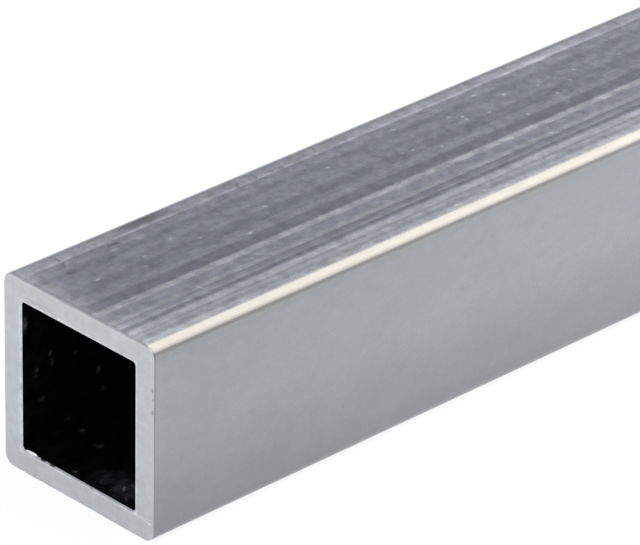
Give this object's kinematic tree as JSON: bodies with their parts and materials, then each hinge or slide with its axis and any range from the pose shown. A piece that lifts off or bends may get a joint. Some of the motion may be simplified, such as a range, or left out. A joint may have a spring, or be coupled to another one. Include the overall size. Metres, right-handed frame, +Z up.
{
  "type": "square metal tube",
  "caption": "Length of square hollow section, extruded in aluminium with even walls and small corner radii, saw-cut square at both ends. Framing and bracket stock.",
  "frame": {"origin": "middle of the tube's length and width, on its lower face", "axes": "+X along the tube, +Y across it, +Z up from the face it lies on; the cut end that the picture shows is at -X"},
  "size_m": [0.3, 0.025, 0.025],
  "materials": {
    "aluminium": "mill finish, satin, with fine die lines along the length and plain saw-cut ends"
  },
  "bodies": {
    "root": {"square_tube": "aluminium"}
  },
  "joints": []
}
